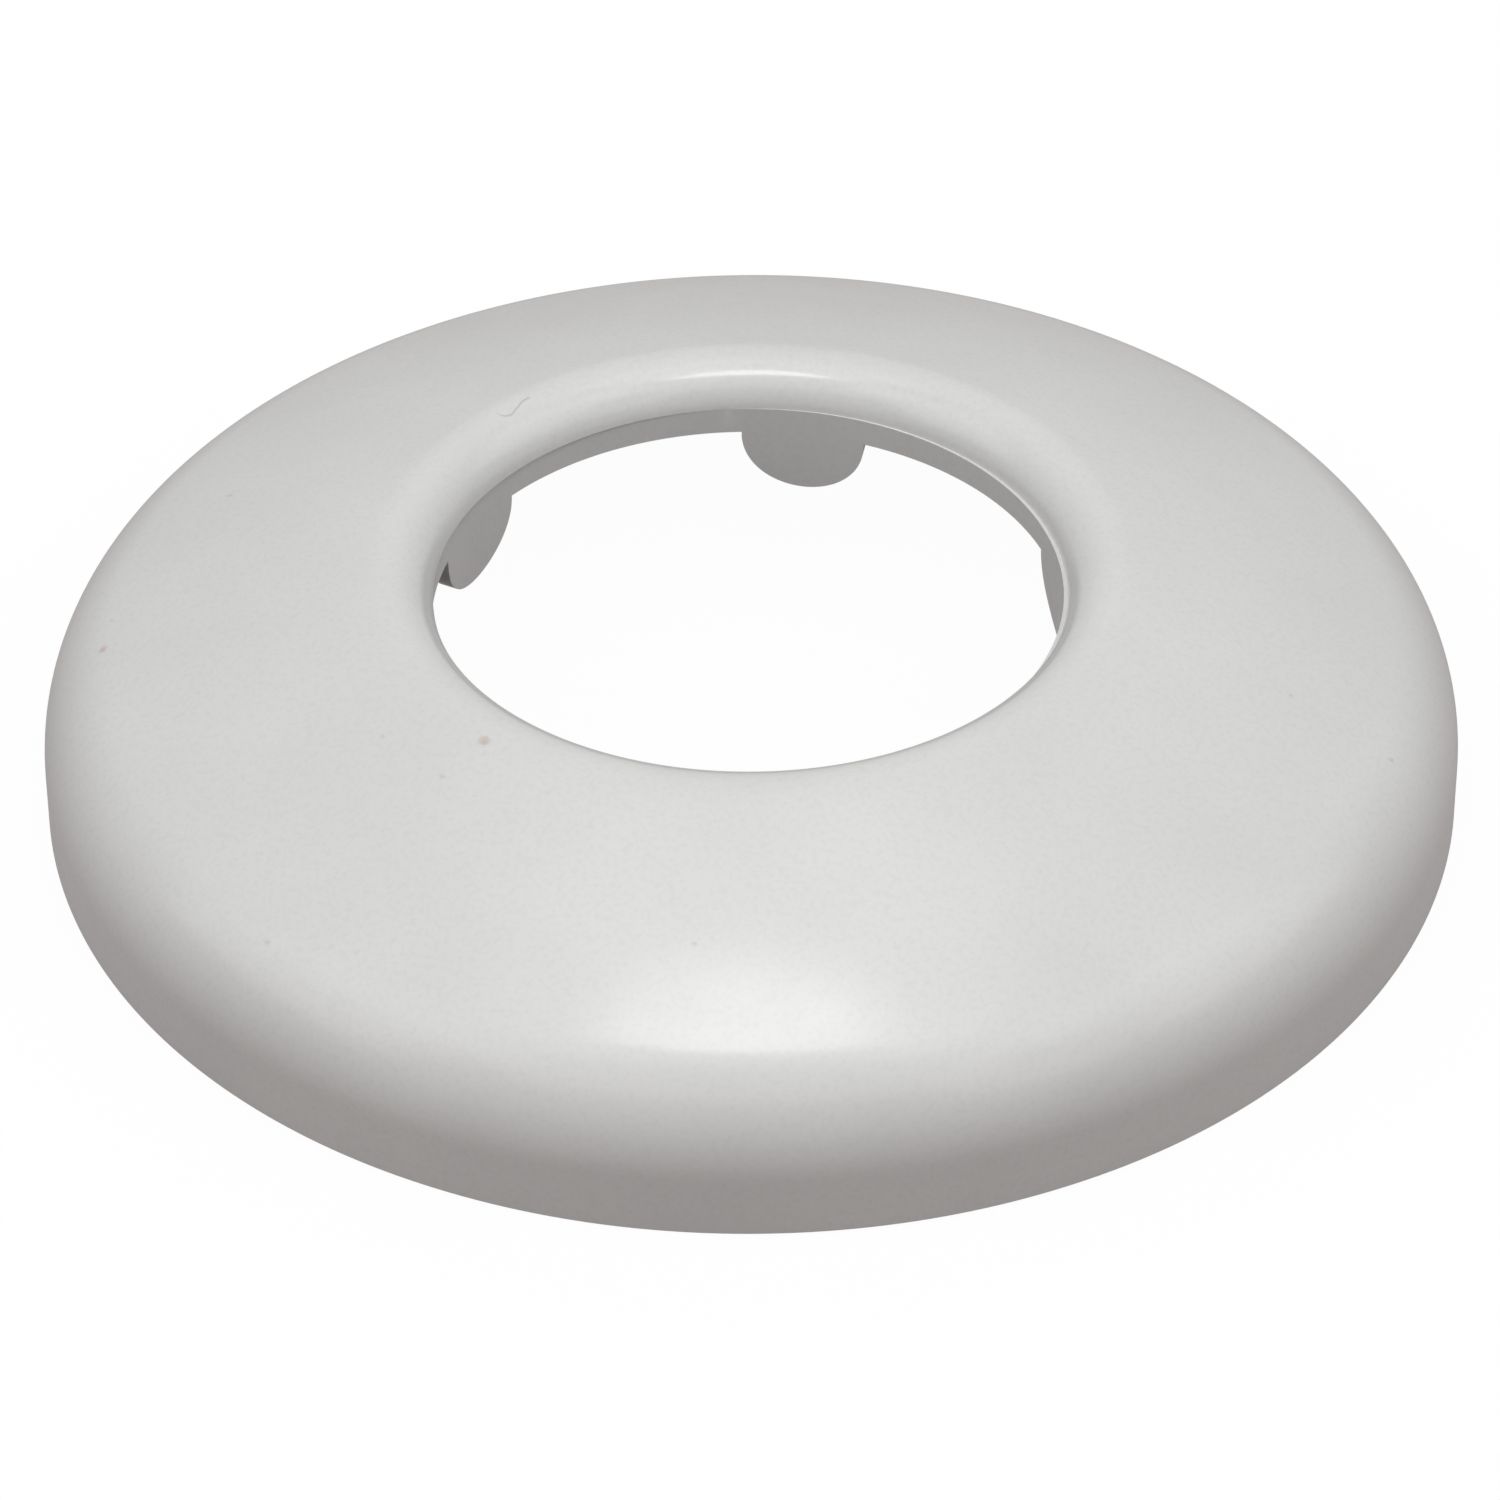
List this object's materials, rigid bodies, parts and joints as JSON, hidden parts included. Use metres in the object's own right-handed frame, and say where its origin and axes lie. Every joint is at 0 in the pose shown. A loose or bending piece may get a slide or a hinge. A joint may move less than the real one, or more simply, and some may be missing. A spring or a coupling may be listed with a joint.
{
  "type": "pipe escutcheon",
  "caption": "Low domed cover ring that slips over a pipe and hides the hole round it, with a rounded rim, a lip rolled into the bore, a short collar and round gripping tabs.",
  "frame": {"origin": "centre of the rim plane, the face that lies against the wall or floor", "axes": "+Z along the pipe's axis, from the rim plane up through the dome; one gripping tab stands on +Y"},
  "size_m": [0.113, 0.113, 0.0209],
  "materials": {
    "white_plastic": "satin as moulded"
  },
  "bodies": {
    "root": {"escutcheon": "white_plastic"}
  },
  "joints": []
}
